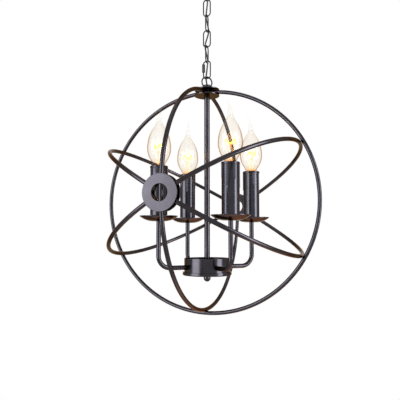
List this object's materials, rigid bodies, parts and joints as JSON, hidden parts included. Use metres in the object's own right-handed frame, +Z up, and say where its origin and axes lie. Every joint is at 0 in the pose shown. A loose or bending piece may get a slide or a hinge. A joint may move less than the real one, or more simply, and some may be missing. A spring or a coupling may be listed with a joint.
{
  "type": "orb chandelier",
  "caption": "Globe chandelier of crossed round-tube hoops on a chain, with candle lights on bent arms, drip pans, a drum and a ceiling canopy.",
  "frame": {"origin": "centre of the mounting strap's top face, against the ceiling", "axes": "+Z up, -Y towards the front hub, +X to the right along the face hoop's plane"},
  "size_m": [0.4, 0.3896, 0.6478],
  "materials": {
    "bronze_paint": "satin dark bronze",
    "chain_paint": "satin dark bronze",
    "candle_paint": "gloss dark bronze",
    "zinc_plated_steel": "zinc plated",
    "cable_jacket": "matt black",
    "wire_insulation": "matt",
    "ceramic": "glazed white",
    "black_moulding": "matt black",
    "bulb_glass": "clear",
    "bulb_cap_metal": "plain",
    "filament": "warm"
  },
  "bodies": {
    "ceiling_mount": {"mounting_strap": "zinc_plated_steel", "canopy": "bronze_paint", "canopy_nipple": "zinc_plated_steel", "canopy_nut": "zinc_plated_steel", "canopy_loop": "chain_paint", "supply_cable": "cable_jacket"},
    "link_1": {"chain_link_1": "chain_paint"},
    "link_2": {"chain_link_2": "chain_paint"},
    "link_3": {"chain_link_3": "chain_paint"},
    "link_4": {"chain_link_4": "chain_paint"},
    "link_5": {"chain_link_5": "chain_paint"},
    "quick_link": {"quick_link": "chain_paint"},
    "quick_link_nut": {"quick_link_nut": "chain_paint"},
    "finial": {"finial": "bronze_paint"},
    "bulb_1": {"bulb_cap_1": "bulb_cap_metal", "bulb_glass_1": "bulb_glass", "bulb_filament_1": "filament"},
    "sleeve_1": {"candle_sleeve_1": "candle_paint"},
    "bulb_2": {"bulb_cap_2": "bulb_cap_metal", "bulb_glass_2": "bulb_glass", "bulb_filament_2": "filament"},
    "sleeve_2": {"candle_sleeve_2": "candle_paint"},
    "bulb_3": {"bulb_cap_3": "bulb_cap_metal", "bulb_glass_3": "bulb_glass", "bulb_filament_3": "filament"},
    "sleeve_3": {"candle_sleeve_3": "candle_paint"},
    "bulb_4": {"bulb_cap_4": "bulb_cap_metal", "bulb_glass_4": "bulb_glass", "bulb_filament_4": "filament"},
    "sleeve_4": {"candle_sleeve_4": "candle_paint"},
    "lamp": {"arm_1": "bronze_paint", "arm_2": "bronze_paint", "arm_3": "bronze_paint", "arm_4": "bronze_paint", "arm_wires": "wire_insulation", "bottom_cover": "bronze_paint", "candle_nipples": "zinc_plated_steel", "centre_rod": "bronze_paint", "drip_pan_1": "bronze_paint", "drip_pan_2": "bronze_paint", "drip_pan_3": "bronze_paint", "drip_pan_4": "bronze_paint", "drum": "bronze_paint", "drum_nuts": "zinc_plated_steel", "face_hoop": "bronze_paint", "falling_slanted_hoop": "bronze_paint", "front_hub_inner_washer": "bronze_paint", "front_hub_outer_washer": "bronze_paint", "hanging_loop": "chain_paint", "lampholder_1": "black_moulding", "lampholder_2": "black_moulding", "lampholder_3": "black_moulding", "lampholder_4": "black_moulding", "meridian_hoop": "bronze_paint", "rear_hub_inner_washer": "bronze_paint", "rear_hub_outer_washer": "bronze_paint", "rising_slanted_hoop": "bronze_paint", "terminal_block": "ceramic", "top_plate_lower": "bronze_paint", "top_plate_upper": "bronze_paint"}
  },
  "joints": [
    {"name": "link_1_swing", "type": "hinge", "parent": "ceiling_mount", "child": "link_1", "pos_m": [0, 0, -0.05205], "axis": [1, 0, 0], "range_deg": [-30, 30], "deforming": ["supply_cable"]},
    {"name": "link_2_swing", "type": "hinge", "parent": "link_1", "child": "link_2", "pos_m": [0, 0, -0.08055], "axis": [0, 1, 0], "range_deg": [-30, 30]},
    {"name": "link_3_swing", "type": "hinge", "parent": "link_2", "child": "link_3", "pos_m": [0, 0, -0.10945], "axis": [1, 0, 0], "range_deg": [-30, 30]},
    {"name": "link_4_swing", "type": "hinge", "parent": "link_3", "child": "link_4", "pos_m": [0, 0, -0.13835], "axis": [0, 1, 0], "range_deg": [-30, 30]},
    {"name": "link_5_swing", "type": "hinge", "parent": "link_4", "child": "link_5", "pos_m": [0, 0, -0.16725], "axis": [1, 0, 0], "range_deg": [-30, 30]},
    {"name": "quick_link_swing", "type": "hinge", "parent": "link_5", "child": "quick_link", "pos_m": [0, 0, -0.19615], "axis": [0, 1, 0], "range_deg": [-30, 30]},
    {"name": "lamp_swing", "type": "hinge", "parent": "quick_link", "child": "lamp", "pos_m": [0, 0, -0.22525], "axis": [1, 0, 0], "range_deg": [-30, 30]},
    {"name": "quick_link_nut_travel", "type": "slide", "parent": "quick_link", "child": "quick_link_nut", "axis": [0, 0, -1], "range_m": [0, 0.0066]},
    {"name": "bulb_1_lift", "type": "slide", "parent": "lamp", "child": "bulb_1", "axis": [0, 0, 1], "range_m": [0, 0.026]},
    {"name": "sleeve_1_lift", "type": "slide", "parent": "lamp", "child": "sleeve_1", "axis": [0, 0, 1], "range_m": [0, 0.004]},
    {"name": "bulb_2_lift", "type": "slide", "parent": "lamp", "child": "bulb_2", "axis": [0, 0, 1], "range_m": [0, 0.026]},
    {"name": "sleeve_2_lift", "type": "slide", "parent": "lamp", "child": "sleeve_2", "axis": [0, 0, 1], "range_m": [0, 0.004]},
    {"name": "bulb_3_lift", "type": "slide", "parent": "lamp", "child": "bulb_3", "axis": [0, 0, 1], "range_m": [0, 0.026]},
    {"name": "sleeve_3_lift", "type": "slide", "parent": "lamp", "child": "sleeve_3", "axis": [0, 0, 1], "range_m": [0, 0.004]},
    {"name": "bulb_4_lift", "type": "slide", "parent": "lamp", "child": "bulb_4", "axis": [0, 0, 1], "range_m": [0, 0.026]},
    {"name": "sleeve_4_lift", "type": "slide", "parent": "lamp", "child": "sleeve_4", "axis": [0, 0, 1], "range_m": [0, 0.004]},
    {"name": "finial_turn", "type": "hinge", "parent": "lamp", "child": "finial", "pos_m": [0, 0, -0.5789], "axis": [0, 0, 1], "continuous": true}
  ]
}
